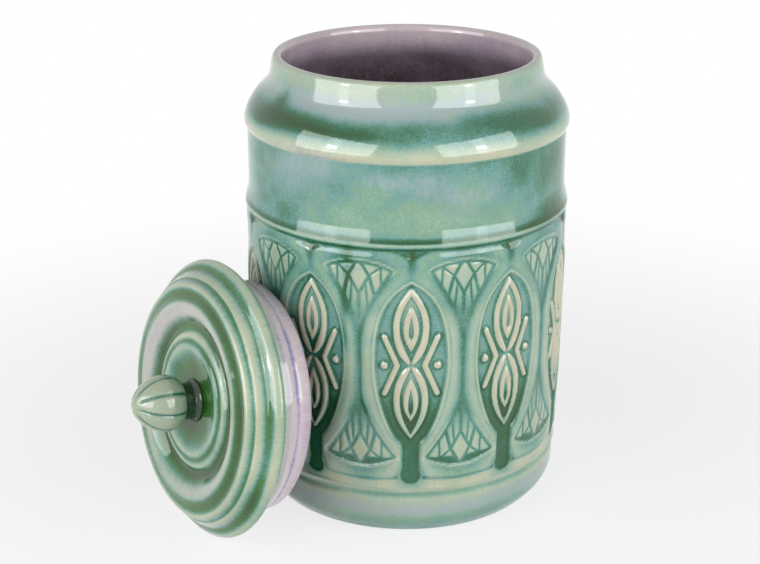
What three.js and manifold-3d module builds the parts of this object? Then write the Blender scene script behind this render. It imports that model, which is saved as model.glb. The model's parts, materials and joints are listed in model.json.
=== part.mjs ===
// A glazed earthenware canister with a moulded band of pointed-oval panels, and its lid, taken
// off and leaning against the jar: the jar, the lid and the bud knob that is luted onto the lid.
// The jar stands on z = 0 with its axis on the Z axis, and the lid leans on its -X side.

import * as THREE from 'three';
import { mergeVertices } from 'three/addons/utils/BufferGeometryUtils.js';
import Module from 'manifold-3d';

const wasm = await Module();
wasm.setup();

// Driving dimensions of the jar, in millimetres
const jarHeight = 218;
const wallThickness = 5;
const floorThickness = 6;
const floorCurve = 14;
const baseRadius = 67.5;
const footRadius = 74.8;
const footCurveRise = 11;
const footBandTop = 21;
const footGrooveDepth = 0.8;
const bandFoot = 28;
const bandFootRadius = 75.9;
const bellyRadius = 77.7;
const ridgeProud = 0.4;
const ridgeWidth = 4;
const ridgeCove = 9;
const plainBandHeight = 37;
const plainBandRadius = 75.3;
const shoulderBeadProud = 1.3;
const shoulderBeadHeight = 4.5;
const shoulderHeight = 31.5;
const neckHeight = 15;
const neckRadius = 64;
const lipRadius = 62;
const lipThickness = 3.4;

// Driving dimensions of the relief band
const panelCount = 10;
const panelTurn = 22;
const reliefDepth = 1.5;
const frameWidth = 7;
const ovalTipDrop = 16;
const ovalFootRise = 22;
const channelWidth = 7.8;
const poolSwell = 0.7;
const poolRise = 7;
const spandrelTopDrop = 6.5;
const spandrelCornerDrop = 10;
const spandrelWidth = 31;
const spandrelApexRise = 16;
const lowerSpandrelRise = 11;
const lowerCornerRise = 16;
const lowerSpandrelWidth = 35;
const lowerApexDrop = 22;
const lowerApexFlare = 3;
const valleyWidth = 1.4;
const loopWidth = 17;
const loopStroke = 3.2;
const loopTipStroke = 4.6;
const loopEndGap = 3.4;
const loopGap = 0.6;

// How full the curves of an oval and of a loop are, as shares of half their width and height
const ovalTipFullness = 0.4;
const ovalTipSlope = 0.18;
const ovalSideFullness = 0.4;
const ovalFootFlare = 2.2;
const ovalFootSlope = 0.2;
const loopTipFullness = 0.45;
const loopTipSlope = 0.25;
const loopSideFullness = 0.45;

// Driving dimensions of the lid, with rises from its rim plane and insets from its rim
const rimOverhang = 4;
const rimEdge = 2.6;
const flangeClearance = 1.4;
const flangeDepth = 22.5;
const flangeTaper = 2.3;
const flangeEndRound = 2.6;
const flangeThickness = 5;
const flangeBeadDrop = 9;
const flangeGrooveDepth = 1;
const lidThickness = 5.5;
const rimGrooveInset = 4.4;
const rimGrooveRise = 2.4;
const outerBeadInset = 8.2;
const outerBeadRise = 6.6;
const beadGrooveInset = 10;
const beadGrooveRise = 6.2;
const stepInset = 11.8;
const stepRise = 8.6;
const wideGrooveInset = 16.2;
const wideGrooveRise = 8.4;
const broadRingInset = 24;
const broadRingRise = 12.9;
const broadRingHalf = 3.6;
const broadRingRound = 0.9;
const deepGrooveInset = 30.8;
const deepGrooveRise = 9.3;
const outerRidgeInset = 34.6;
const outerRidgeRise = 11.3;
const twinGrooveInset = 37.3;
const twinGrooveRise = 10.4;
const innerRidgeInset = 40;
const innerRidgeRise = 12.3;
const dishRadius = 17;
const dishRise = 10;

// Driving dimensions of the knob
const knobFootRadius = 10.5;
const stemRadius = 8.4;
const stemHeight = 6;
const budRadius = 13.3;
const budSwellHeight = 8.5;
const budHeight = 24.7;
const budFootFullness = 0.9;
const budTipBreadth = 6;
const lobeCount = 8;
const lobeGroove = 0.7;
const lobeGrooveSharpness = 4;

// Colours of the glaze on each piece, and its gloss
const jarColour = 0x7fae96;
const lidColour = 0x86ac90;
const knobColour = 0xa9bfa4;
const glazeRoughness = 0.2;

// Fits, and how far the lid leans back from upright and stands to one side
const seatGap = 0.3;
const leanGap = 0.3;
const leanSideways = 2.15;
const leanAngle = THREE.MathUtils.degToRad(8.5);

// Facets round each turned piece, and steps along its curves
const jarFacets = panelCount * 4;
const jarSteps = 2;
const lidFacets = 36;
const lidSteps = 2;
const knobFacets = lobeCount * 4;
const knobSteps = 4;
const reliefSteps = 3;
const loopSteps = 2;
const vertexMerge = 1e-4;

// Heights and radii that follow from the driving dimensions
const shoulderLine = jarHeight - shoulderHeight;
const ridgeHeight = shoulderLine - plainBandHeight;
const bandTop = ridgeHeight - ridgeWidth / 2;
const ridgeRadius = bellyRadius + ridgeProud;
const mouthRadius = lipRadius - lipThickness;
const rimRadius = lipRadius + rimOverhang;
const flangeRadius = mouthRadius - flangeClearance;
const flangeEndRadius = flangeRadius - flangeTaper;
const bandReach = Math.max(ridgeRadius, bandFootRadius) + reliefDepth;

// A closed solid from a geometry, with its shared vertices merged
function solidFrom(geometry) {
  const bare = geometry.index ? geometry.toNonIndexed() : geometry.clone();
  bare.deleteAttribute('normal');
  bare.deleteAttribute('uv');
  const merged = mergeVertices(bare, vertexMerge);
  const corners = merged.index.array;
  const triangles = [];
  for (let i = 0; i < corners.length; i += 3) {
    const [a, b, c] = corners.slice(i, i + 3);
    if (a !== b && b !== c && c !== a) triangles.push(a, b, c);
  }
  return new wasm.Manifold(new wasm.Mesh({
    numProp: 3,
    vertProperties: new Float32Array(merged.attributes.position.array),
    triVerts: new Uint32Array(triangles),
  }));
}

// The geometry of a solid
function geometryFrom(solid) {
  const mesh = solid.getMesh();
  const geometry = new THREE.BufferGeometry();
  geometry.setAttribute('position', new THREE.BufferAttribute(mesh.vertProperties, 3));
  geometry.setIndex(new THREE.BufferAttribute(mesh.triVerts, 1));
  geometry.computeVertexNormals();
  return geometry;
}

// A profile of (radius, height) points turned round the Z axis, with the material on the
// left of the way that the points run
function turned(points, facets) {
  return new THREE.LatheGeometry(points, facets).rotateX(Math.PI / 2);
}

// A named piece with its own glaze colour
function piece(name, solid, color) {
  const glaze = new THREE.MeshStandardMaterial({ color, roughness: glazeRoughness, metalness: 0 });
  const mesh = new THREE.Mesh(geometryFrom(solid), glaze);
  mesh.name = name;
  return mesh;
}

// Draws the wall of the relief band on a profile, at a depth below its raised surface
function drawBandWall(path, depth) {
  path.lineTo(bandFootRadius - depth, bandFoot);
  path.quadraticCurveTo(bellyRadius - depth, (bandFoot + bandTop) / 2, bellyRadius - depth, bandTop);
}

// The jar's plain form: one hollow turning, from the centre of the base up the outside, over
// the lip and down the inside to the floor
function jarForm() {
  const shoulderRadius = plainBandRadius + shoulderBeadProud;
  const beadHeight = shoulderLine + shoulderBeadHeight;
  const neckFoot = jarHeight - neckHeight;
  const slopeMiddle = (beadHeight + neckFoot) / 2 + shoulderBeadHeight;
  const lipMiddle = jarHeight - lipThickness / 2;
  const plainInside = plainBandRadius - wallThickness;
  const bellyInside = bellyRadius - reliefDepth - wallThickness;
  const bandFootInside = bandFootRadius - reliefDepth - wallThickness;
  const footInside = footRadius - footGrooveDepth - wallThickness;
  const outline = new THREE.Path();
  outline.moveTo(0, 0);
  outline.lineTo(baseRadius, 0);
  outline.quadraticCurveTo(footRadius, 0, footRadius, footCurveRise);
  outline.lineTo(footRadius, footBandTop);
  outline.lineTo(footRadius - footGrooveDepth, (footBandTop + bandFoot) / 2);
  drawBandWall(outline, 0);
  outline.lineTo(ridgeRadius, ridgeHeight - ridgeWidth / 4);
  outline.lineTo(ridgeRadius, ridgeHeight + ridgeWidth / 4);
  outline.quadraticCurveTo(plainBandRadius + ridgeProud, ridgeHeight + ridgeWidth / 2,
    plainBandRadius + ridgeProud, ridgeHeight + ridgeCove);
  outline.lineTo(plainBandRadius, shoulderLine);
  outline.quadraticCurveTo(shoulderRadius, shoulderLine, shoulderRadius, beadHeight);
  outline.quadraticCurveTo(shoulderRadius, slopeMiddle, (shoulderRadius + neckRadius) / 2, neckFoot);
  outline.quadraticCurveTo(neckRadius, neckFoot + lipThickness, lipRadius, lipMiddle);
  outline.quadraticCurveTo(lipRadius, jarHeight, lipRadius - lipThickness / 2, jarHeight);
  outline.quadraticCurveTo(mouthRadius, jarHeight, mouthRadius, lipMiddle);
  outline.quadraticCurveTo(mouthRadius, neckFoot, plainInside, beadHeight);
  outline.lineTo(plainInside, ridgeHeight + ridgeCove);
  outline.lineTo(bellyInside, bandTop);
  outline.lineTo(bandFootInside, bandFoot + wallThickness);
  outline.lineTo(footInside, floorThickness + floorCurve);
  outline.quadraticCurveTo(footInside, floorThickness, footInside - floorCurve, floorThickness);
  outline.lineTo(0, floorThickness);
  return solidFrom(turned(outline.getPoints(jarSteps), jarFacets));
}

// The layer of wall that the relief is sunk into, reaching past the raised surface
function reliefLayer() {
  const outline = new THREE.Path();
  outline.moveTo(bandReach, bandFoot);
  drawBandWall(outline, reliefDepth);
  outline.lineTo(bandReach, bandTop);
  outline.lineTo(bandReach, bandFoot);
  return solidFrom(turned(outline.getPoints(jarSteps).reverse(), jarFacets));
}

// A shape that is the same on both sides of its centre line, from its right-hand edge
function mirroredShape(edge, steps) {
  const right = edge.getPoints(steps);
  const left = right.filter((point) => point.x > 0).map((point) => new THREE.Vector2(-point.x, point.y));
  return new THREE.Shape([...right, ...left.reverse()]);
}

// A shape drawn flat in front of the wall, extruded from the jar's axis out past the wall and
// turned to its place round the jar
function wallPrism(shape, degrees) {
  const outwards = new THREE.Matrix4().makeBasis(
    new THREE.Vector3(0, 1, 0), new THREE.Vector3(0, 0, 1), new THREE.Vector3(1, 0, 0));
  const prism = new THREE.ExtrudeGeometry(shape, { depth: bandReach, bevelEnabled: false });
  prism.applyMatrix4(outwards).rotateZ(THREE.MathUtils.degToRad(degrees));
  return solidFrom(prism);
}

// Heights of the oval panels and of the waist where their loops cross
const ovalTip = bandTop - ovalTipDrop;
const ovalFoot = bandFoot + ovalFootRise;
const waist = (ovalTip + ovalFoot) / 2;
const halfPitch = bellyRadius * Math.sin(Math.PI / panelCount);

// The sunk pointed oval of one panel, with the channel that runs from it down to a round pool
function ovalShape() {
  const half = halfPitch - frameWidth;
  const rise = ovalTip - waist;
  const channel = channelWidth / 2;
  const pool = channel + poolSwell;
  const poolHeight = bandFoot + poolRise;
  const edge = new THREE.Path();
  edge.moveTo(0, ovalTip);
  edge.bezierCurveTo(half * ovalTipFullness, ovalTip - rise * ovalTipSlope,
    half, waist + rise * ovalSideFullness, half, waist);
  edge.bezierCurveTo(half, waist - rise * ovalSideFullness,
    channel * ovalFootFlare, ovalFoot + rise * ovalFootSlope, channel, ovalFoot);
  edge.absarc(0, poolHeight, pool, Math.acos(channel / pool), -Math.PI / 2, true);
  return mirroredShape(edge, reliefSteps);
}

// A leaf outline, pointed above and below
function leafShape(top, bottom, half) {
  const middle = (top + bottom) / 2;
  const rise = top - middle;
  const tipX = half * loopTipFullness;
  const tipDrop = rise * loopTipSlope;
  const sideRise = rise * loopSideFullness;
  const edge = new THREE.Path();
  edge.moveTo(0, top);
  edge.bezierCurveTo(tipX, top - tipDrop, half, middle + sideRise, half, middle);
  edge.bezierCurveTo(half, middle - sideRise, tipX, bottom + tipDrop, 0, bottom);
  return mirroredShape(edge, loopSteps);
}

// One of the two raised loops in an oval: a leaf with a smaller leaf cut out of it
function loopShape(top, bottom) {
  const loop = leafShape(top, bottom, loopWidth / 2);
  const hollow = leafShape(top - loopTipStroke, bottom + loopTipStroke, loopWidth / 2 - loopStroke);
  loop.holes.push(new THREE.Path(hollow.getPoints().reverse()));
  return loop;
}

// The sunk spandrels above and below, between two panels, joined by the valley between frames
function spandrelShape() {
  const corner = bandTop - spandrelCornerDrop;
  const apex = waist + spandrelApexRise;
  const lowerApex = waist - lowerApexDrop;
  const lowerCorner = bandFoot + lowerCornerRise;
  const top = bandTop - spandrelTopDrop;
  const bottom = bandFoot + lowerSpandrelRise;
  const edge = new THREE.Path();
  edge.moveTo(0, top);
  edge.quadraticCurveTo(spandrelWidth / 4, top, spandrelWidth / 2, corner);
  edge.quadraticCurveTo(valleyWidth, (corner + apex) / 2, valleyWidth / 2, apex);
  edge.lineTo(valleyWidth / 2, lowerApex);
  edge.quadraticCurveTo(valleyWidth * lowerApexFlare, (lowerCorner + lowerApex) / 2,
    lowerSpandrelWidth / 2, lowerCorner);
  edge.quadraticCurveTo(lowerSpandrelWidth / 4, bottom, 0, bottom);
  return mirroredShape(edge, reliefSteps);
}

// The jar with its relief band cut in, panel by panel, round the loops that are left standing
function jarBody() {
  const layer = reliefLayer();
  const pitch = 360 / panelCount;
  let jar = jarForm();
  for (let panel = 0; panel < panelCount; panel += 1) {
    const turn = panelTurn + panel * pitch;
    const upperLoop = wallPrism(loopShape(ovalTip - loopEndGap, waist + loopGap / 2), turn);
    const lowerLoop = wallPrism(loopShape(waist - loopGap / 2, ovalFoot + loopEndGap), turn);
    const sunkOval = wallPrism(ovalShape(), turn).subtract(upperLoop).subtract(lowerLoop);
    jar = jar.subtract(sunkOval.intersect(layer));
    jar = jar.subtract(wallPrism(spandrelShape(), turn + pitch / 2).intersect(layer));
  }
  return jar;
}

// The lid: a hollow turning, from the middle of its dish outwards over the rings, round the rim,
// and down the flange that drops into the jar's mouth
function lidForm() {
  const ceiling = dishRise - lidThickness;
  const flangeInside = flangeEndRadius - flangeThickness;
  const rings = [
    [innerRidgeInset, innerRidgeRise], [twinGrooveInset, twinGrooveRise],
    [outerRidgeInset, outerRidgeRise], [deepGrooveInset, deepGrooveRise],
    [broadRingInset + broadRingHalf, broadRingRise - broadRingRound],
    [broadRingInset, broadRingRise],
    [broadRingInset - broadRingHalf, broadRingRise - broadRingRound],
    [wideGrooveInset, wideGrooveRise], [stepInset, stepRise],
    [beadGrooveInset, beadGrooveRise], [outerBeadInset, outerBeadRise],
    [rimGrooveInset, rimGrooveRise], [rimEdge, rimEdge],
  ];
  const outline = new THREE.Path();
  outline.moveTo(0, dishRise);
  outline.lineTo(dishRadius, dishRise);
  outline.splineThru(rings.map(([inset, rise]) => new THREE.Vector2(rimRadius - inset, rise)));
  outline.absarc(rimRadius - rimEdge, 0, rimEdge, Math.PI / 2, -Math.PI / 2, true);
  outline.lineTo(flangeRadius, -rimEdge);
  outline.lineTo(flangeRadius, -flangeBeadDrop);
  outline.lineTo(flangeRadius - flangeGrooveDepth, -flangeBeadDrop - flangeGrooveDepth);
  outline.absarc(flangeEndRadius - flangeEndRound, flangeEndRound - flangeDepth, flangeEndRound,
    0, -Math.PI / 2, true);
  outline.lineTo(flangeInside, -flangeDepth);
  outline.lineTo(flangeInside, -rimEdge);
  outline.quadraticCurveTo(flangeInside, ceiling, flangeInside - flangeBeadDrop, ceiling);
  outline.lineTo(0, ceiling);
  return solidFrom(turned(outline.getPoints(lidSteps).reverse(), lidFacets));
}

// The knob: a short stem under a pointed bud, with a groove between one lobe and the next
function knobForm() {
  const foot = dishRise + seatGap;
  const budFoot = foot + stemHeight;
  const tip = budFoot + budHeight;
  const swell = budFoot + budSwellHeight;
  const outline = new THREE.Path();
  outline.moveTo(0, foot);
  outline.lineTo(knobFootRadius, foot);
  outline.quadraticCurveTo(stemRadius, foot, stemRadius, budFoot);
  outline.bezierCurveTo(budRadius * budFootFullness, budFoot,
    budRadius, (budFoot + swell) / 2, budRadius, swell);
  outline.bezierCurveTo(budRadius, (swell + tip) / 2, budTipBreadth, tip, 0, tip);
  const bud = turned(outline.getPoints(knobSteps), knobFacets);
  const position = bud.attributes.position;
  for (let i = 0; i < position.count; i += 1) {
    const point = new THREE.Vector3().fromBufferAttribute(position, i);
    const along = THREE.MathUtils.clamp((point.z - budFoot) / budHeight, 0, 1);
    const radius = Math.hypot(point.x, point.y);
    const facing = Math.max(0, Math.cos(lobeCount * Math.atan2(point.y, point.x)));
    const grooved = facing ** lobeGrooveSharpness;
    const depth = lobeGroove * grooved * Math.sin(Math.PI * along);
    const shrink = radius > depth ? 1 - depth / radius : 1;
    position.setXY(i, point.x * shrink, point.y * shrink);
  }
  return solidFrom(bud);
}

// The radius of the relief band's raised surface at a height
function bandRadius(height) {
  const along = (height - bandFoot) / (bandTop - bandFoot);
  return bellyRadius - (bellyRadius - bandFootRadius) * (1 - along) ** 2;
}

// The lid and its knob stand on the edge of the rim, with the flange's end against the jar
const lidMiddle = (rimRadius - rimEdge) * Math.cos(leanAngle) + rimEdge;
const endMiddle = flangeDepth - flangeEndRound;
const endRadius = flangeEndRadius - flangeEndRound;
const touchHeight = lidMiddle - endMiddle * Math.sin(leanAngle) + endRadius * Math.cos(leanAngle);
const flangeReach = endMiddle * Math.cos(leanAngle) + endRadius * Math.sin(leanAngle) + flangeEndRound;
const lidAway = bandRadius(touchHeight) + leanGap + flangeReach;
const lidGroup = new THREE.Group();
lidGroup.add(piece('lid', lidForm(), lidColour));
lidGroup.add(piece('lid_knob', knobForm(), knobColour));
lidGroup.rotation.y = leanAngle - Math.PI / 2;
lidGroup.position.set(-lidAway, leanSideways, lidMiddle);

const canister = new THREE.Group();
canister.add(piece('jar_body', jarBody(), jarColour));
canister.add(lidGroup);

export default canister;
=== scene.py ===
# A glazed earthenware canister: a jar with a moulded band of pointed-oval panels, and its ringed
# lid with a bud knob, taken off and leaning against the jar. Sizes are in millimetres, apart from
# those of the studio, which are in metres.

import json
import math

import bpy
import numpy as np
from mathutils import Matrix, Vector


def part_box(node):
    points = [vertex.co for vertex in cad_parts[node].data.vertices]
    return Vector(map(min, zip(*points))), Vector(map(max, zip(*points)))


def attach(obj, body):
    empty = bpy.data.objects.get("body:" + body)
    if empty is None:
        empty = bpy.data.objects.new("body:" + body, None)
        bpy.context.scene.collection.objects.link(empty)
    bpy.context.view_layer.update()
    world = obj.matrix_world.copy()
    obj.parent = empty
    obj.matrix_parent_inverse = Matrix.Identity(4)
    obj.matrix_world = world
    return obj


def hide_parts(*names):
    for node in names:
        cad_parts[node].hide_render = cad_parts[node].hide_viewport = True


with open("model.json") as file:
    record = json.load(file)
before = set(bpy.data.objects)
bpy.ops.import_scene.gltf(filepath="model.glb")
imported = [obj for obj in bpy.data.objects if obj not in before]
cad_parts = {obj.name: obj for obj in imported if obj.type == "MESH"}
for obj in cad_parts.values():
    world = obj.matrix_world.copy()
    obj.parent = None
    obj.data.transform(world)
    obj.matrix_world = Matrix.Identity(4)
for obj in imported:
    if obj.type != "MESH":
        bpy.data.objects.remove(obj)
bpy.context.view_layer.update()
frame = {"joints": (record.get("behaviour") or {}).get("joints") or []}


# Jar
# The jar is one slip-cast earthenware casting with a moulded band round it, fired in a running
# glaze. Its outside, lip and inside are one turned outline, from the middle of the base round to
# the middle of the floor.

MM = 0.001
jar_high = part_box("jar_body")[1]
JAR_HEIGHT = jar_high.z / MM
RIDGE_RADIUS = jar_high.y / MM
BELLY_RADIUS = RIDGE_RADIUS - 0.4
BAND_FOOT = 27.5
BAND_FOOT_RADIUS = 75.9
BAND_TOP = 144.8
BAND_ROWS = 124

# Corners: radius, height, where the curve round the corner starts, and glaze from 0 thin to 1 thick
FOOT_CORNERS = [
    (0, 0, 0, 0.5), (66.5, 0, 3, 0.66), (74.8, 9.5, 6, 0.52), (74.8, 20.8, 0.9, 0.22),
    (74.0, 23.4, 1.2, 0.6), (75.5, 26.2, 1.2, 0.15), (BAND_FOOT_RADIUS, BAND_FOOT, 0, 0.4),
]
SHOULDER_CORNERS = [
    (BELLY_RADIUS - 1, BAND_TOP, 0, 0.55), (BELLY_RADIUS - 1.1, 145.7, 0.4, 0.9),
    (RIDGE_RADIUS - 0.35, 147.0, 0.5, 0.7), (RIDGE_RADIUS - 0.35, 148.3, 0.7, 0.1),
    (RIDGE_RADIUS - 0.6, 149.4, 0.4, 0.94), (RIDGE_RADIUS - 1.2, 152.0, 0.6, 0.54),
    (76.2, 155.2, 1, 0.48), (75.9, 159.0, 2, 0.46), (75.9, 184.6, 0.5, 0.6), (76.4, 185.6, 0.4, 0.04),
    (77.4, 187.4, 1.6, 0.12), (77.0, 190.2, 1.6, 0.24), (75.6, 194.0, 2, 0.62), (72.4, 199.3, 3, 0.76),
    (66.6, 205.2, 4, 0.42), (64.8, 208.6, 3, 0.34), (63.6, 216.4, 1.4, 0.28),
    (62.6, JAR_HEIGHT, 1.0, 0.2), (61.2, JAR_HEIGHT, 0, 0.12),
]
# Down the inside the glaze value rises towards 1, where the mauve ramp turns dark: that dark is painted shade
# deep in the jar, not thicker glaze
INSIDE_CORNERS = [
    (61.2, JAR_HEIGHT, 0, 0.2), (59.6, JAR_HEIGHT, 1.4, 0.36), (58.5, 215.8, 1.4, 0.4),
    (58.8, 207.0, 6, 0.54), (70.3, 193.0, 8, 0.92), (70.3, 12.0, 9, 1.0), (60.0, 6.0, 8, 1.0),
    (0, 6.0, 0, 1.0),
]


def soft_outline(corners, longest=3.0, steps=7):
    """An outline through (radius, height, softness, further values) corners: each corner is a
    curve that starts and ends at its softness from the point, and straight stretches are cut to
    the longest step. The further values run along with the radius and height."""
    corners = np.array(corners, float)
    softness = corners[:, 2]
    corners = np.delete(corners, 2, axis=1)
    turns = [corners[0]]
    for before, here, after, soft in zip(corners[:-2], corners[1:-1], corners[2:], softness[1:-1]):
        start = here + (before - here) * min(0.5, soft / np.linalg.norm((before - here)[:2]))
        end = here + (after - here) * min(0.5, soft / np.linalg.norm((after - here)[:2]))
        for t in np.linspace(0, 1, steps):
            turns.append((1 - t) ** 2 * start + 2 * t * (1 - t) * here + t ** 2 * end)
    turns.append(corners[-1])
    outline = [turns[0]]
    for turn in turns[1:]:
        start = outline[-1]
        pieces = math.ceil(np.linalg.norm((turn - start)[:2]) / longest)
        for k in range(1, pieces + 1):
            outline.append(start + (turn - start) * k / pieces)
    return np.array(outline)


def ramp(value, start, end):
    """0 up to the start, 1 from the end on, and a smooth change between them. The end may be lower
    than the start."""
    t = np.clip((value - start) / (end - start), 0, 1)
    return t * t * (3 - 2 * t)


def hump(value, half):
    """1 at zero, falling away on both sides over the half width."""
    return np.exp(-(value / half) ** 2)


# The moulded band has ten panels. Each is a sunk pointed oval that holds two looped leaves, two
# chevrons and two dots, and between one panel and the next are two spandrels of lozenges.

PANEL_COUNT = 10
PANEL_TURN = 22
PANEL_COLUMNS = 60
PLAIN_COLUMNS = 10
PANEL_HALF = math.pi * BELLY_RADIUS / PANEL_COUNT
# How far the ovals and the spandrels are sunk, how far the strokes stop short of the wall, and how
# wide the rounded edges are
SUNK, SPANDREL_SUNK, STROKE_BACK = 1.5, 0.75, 0.2
EDGE = 0.9
# The frame of an oval lies a little below the band's wall. A line beside the oval and a soft crest,
# at a share of the way from the oval to the spandrel, rise from there
FRAME_BACK, FRAME_RISE = 0.35, 0.3
FRAME_LINE, FRAME_LINE_HALF = 0.8, 0.9
CREST_SHARE, CREST_HALF = 0.45, 0.34
EDGE_LINE, EDGE_LINE_HALF = 0.7, 0.55
# Heights between which the frame's line starts, its crest flattens, the floor of the oval darkens,
# the pool starts, and the spandrels are wide enough for a line along their edge
LINE_STARTS = (52, 62)
CREST_FLATTENS = (108, 120)
FLOOR_DARKENS = (86, 60)
POOL_STARTS = (57, 48)
WIDE_ABOVE, WIDE_BELOW = (132, 136), (66, 58)
FRAME_GLAZE, FLOOR_GLAZE, SPANDREL_GLAZE, POOL_GLAZE = 0.57, 0.54, 0.68, 0.84
CREST_THINS, EDGE_LINE_THINS, HOLLOW_THINS = 0.28, 0.42, 0.3

# Half outlines as curves of four points each, across from the middle and up
OVAL_UPPER = [(0, 130.4), (11.4, 124.3), (16.8, 113.9), (16.8, 91)]
OVAL_LOWER = [(16.8, 91), (16.8, 76), (11.4, 57.9), (4.2, 50)]
POOL_HEIGHT, POOL_RADIUS = 34.4, 5.0
SPANDREL_TOP = [(0, 140), (6.5, 140), (12, 138.8), (16, 136)]
SPANDREL_SIDE = [(16, 136), (9, 124.5), (2.8, 116.5), (0.45, 103)]
LOWER_SIDE = [(0.45, 77), (1.2, 69.5), (5.6, 58.5), (17.5, 43.5)]
LOWER_EDGE = [(17.5, 43.5), (12.5, 40.4), (6.5, 38.4), (0, 38.4)]
WAIST, WAIST_HALF = 90.3, 0.8
LEAVES = [
    # Tip, widest height, waist end, half width and fullness of the waist end of a leaf, and of the
    # hollow inside it
    ((128.2, 109.0, 90.0, 8.4, 0.65), (124.2, 109.0, 91.0, 5.3, 0.3)),
    ((119.5, 108.0, 97.2, 3.6, 0.45), (114.0, 106.0, 102.5, 1.1, 0.45)),
    ((53.0, 72.5, 90.6, 8.3, 0.65), (55.6, 73.0, 89.6, 5.1, 0.3)),
    ((62.0, 72.0, 84.0, 3.6, 0.45), (65.2, 69.5, 78.5, 1.1, 0.45)),
]
CHEVRON = [(12.4, 104.2), (6.4, 90.3), (12.4, 76.2)]
CHEVRON_HALF = 1.3
DOT, DOT_RADIUS = (12.5, 90.2), 1.8
# The lozenges of a spandrel: the widest height of the middle one, its half width and its reach to
# its inner point, and how far the smaller ones reach towards the valley
UPPER_LOZENGE, LOWER_LOZENGE = 133.2, 46.7
LOZENGE_HALF, LOZENGE_POINT, LOZENGE_REACH = 4.9, 8.6, 23
LOZENGE_RISE = 0.4
# The lines between the lozenges: where each starts across the spandrel, and how far it runs across
# for each millimetre towards the wide end or the valley
LONG_SLOPE = 1.2
BENT_OUT, BENT_IN = 0.6, 0.27
INNER_LINE, INNER_SLOPE = 2.8, 0.1
OUTER_LINE, OUTER_SLOPE = 10.4, 0.06
# The notch over each oval, the groove that runs down from it, the border at the foot of the band,
# and the rounded top edge
NOTCH_TOP, NOTCH_DIP, NOTCH_WIDTH, NOTCH_DEPTH = 146.6, 4.6, 7.0, 0.8
GROOVE_HALF, GROOVE_FOOT, GROOVE_DEPTH = 2.6, 130, 0.3
BORDER_STEP, BORDER_SAG, BORDER_DEPTH = 31.6, 2.4, 0.5
ROUNDED_FROM, ROUNDED_TO, ROUNDED_OFF = 141.5, 147, 1.3
# What each point carries for the glaze, and its value where a ring gives none
ATTRIBUTES = {
    "glaze": 0.5, "stroke": -9.0, "lining": 0.0, "bloom": 0.0, "spandrel": -9.0,
    "long_line": 9.0, "bent_line": 9.0, "thin_line": 9.0, "lozenge": 0.0,
    "frame_line": -9.0,
}


def curve_through(start, first, second, end, steps=14):
    """Points on a cubic curve with two handles."""
    t = np.linspace(0, 1, steps)[:, None]
    start, first, second, end = (np.array(p, float) for p in (start, first, second, end))
    return ((1 - t) ** 3 * start + 3 * t * (1 - t) ** 2 * first
            + 3 * t ** 2 * (1 - t) * second + t ** 3 * end)


def both_sides(edge):
    """A closed outline from its right-hand edge and the mirror image of that edge."""
    return np.concatenate((edge, edge[::-1] * (-1, 1)))


def depth_inside(spots, outline):
    """The distance from each spot to a closed outline, above 0 inside it and below 0 outside."""
    nearest = np.full(len(spots), 1e9)
    inside = np.zeros(len(spots), bool)
    for a, b in zip(outline, np.roll(outline, -1, axis=0)):
        side = b - a
        if side @ side < 1e-9:
            continue
        t = np.clip((spots - a) @ side / (side @ side), 0, 1)
        nearest = np.minimum(nearest, np.linalg.norm(spots - a - t[:, None] * side, axis=1))
        if a[1] != b[1]:
            crossing = (a[1] > spots[:, 1]) != (b[1] > spots[:, 1])
            reach = a[0] + (spots[:, 1] - a[1]) * side[0] / side[1]
            inside ^= crossing & (spots[:, 0] < reach)
    return np.where(inside, nearest, -nearest)


def depth_in_stroke(spots, line, half):
    """The distance inside a round-ended stroke along a line of points."""
    nearest = np.full(len(spots), 1e9)
    for a, b in zip(line[:-1], line[1:]):
        side = np.array(b) - np.array(a)
        t = np.clip((spots - a) @ side / (side @ side), 0, 1)
        nearest = np.minimum(nearest, np.linalg.norm(spots - a - t[:, None] * side, axis=1))
    return half - nearest


def leaf_outline(tip, wide, end, half, fullness):
    """A leaf, pointed at its tip: its widest height lies between its tip and its waist end, which
    is blunter the fuller it is."""
    lead = 0.475 - fullness / 2
    outer = curve_through((0, tip), (half * 0.45, tip - (tip - wide) * 0.25),
                          (half, wide + (tip - wide) * 0.45), (half, wide))
    inner = curve_through((half, wide), (half, wide - (wide - end) * 0.45),
                          (half * fullness, end + (wide - end) * lead), (0, end))
    return both_sides(np.concatenate((outer, inner[1:])))


def oval_outline():
    """The sunk oval, with the channel that runs from its foot into a round pool."""
    turn = np.linspace(math.acos(OVAL_LOWER[-1][0] / POOL_RADIUS), -math.pi / 2, 12)
    pool = np.column_stack((POOL_RADIUS * np.cos(turn), POOL_HEIGHT + POOL_RADIUS * np.sin(turn)))
    return both_sides(np.concatenate((
        curve_through(*OVAL_UPPER), curve_through(*OVAL_LOWER)[1:], pool)))


def spandrel_outline():
    """The upper and lower spandrels between two panels, joined by the narrow valley."""
    return both_sides(np.concatenate((
        curve_through(*SPANDREL_TOP), curve_through(*SPANDREL_SIDE)[1:],
        curve_through(*LOWER_SIDE), curve_through(*LOWER_EDGE)[1:])))


def lattice_lines(across, along):
    """Distances from the slanting lines between the lozenges, across from the middle of a spandrel
    and along it towards its wide end. Their signs change on the lines, so they stay sharp."""
    outwards, inwards = np.maximum(along, 0), np.maximum(-along, 0)
    to_point = np.maximum(LOZENGE_HALF * (1 - inwards / LOZENGE_POINT), 0)
    long_line = to_point + LONG_SLOPE * outwards - across
    bent_line = LOZENGE_HALF - BENT_OUT * outwards + BENT_IN * inwards - across
    inner_line = INNER_LINE - INNER_SLOPE * along - across
    outer_line = across - OUTER_LINE - OUTER_SLOPE * inwards
    return long_line, bent_line, np.maximum(np.maximum(inner_line, long_line), outer_line)


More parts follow.
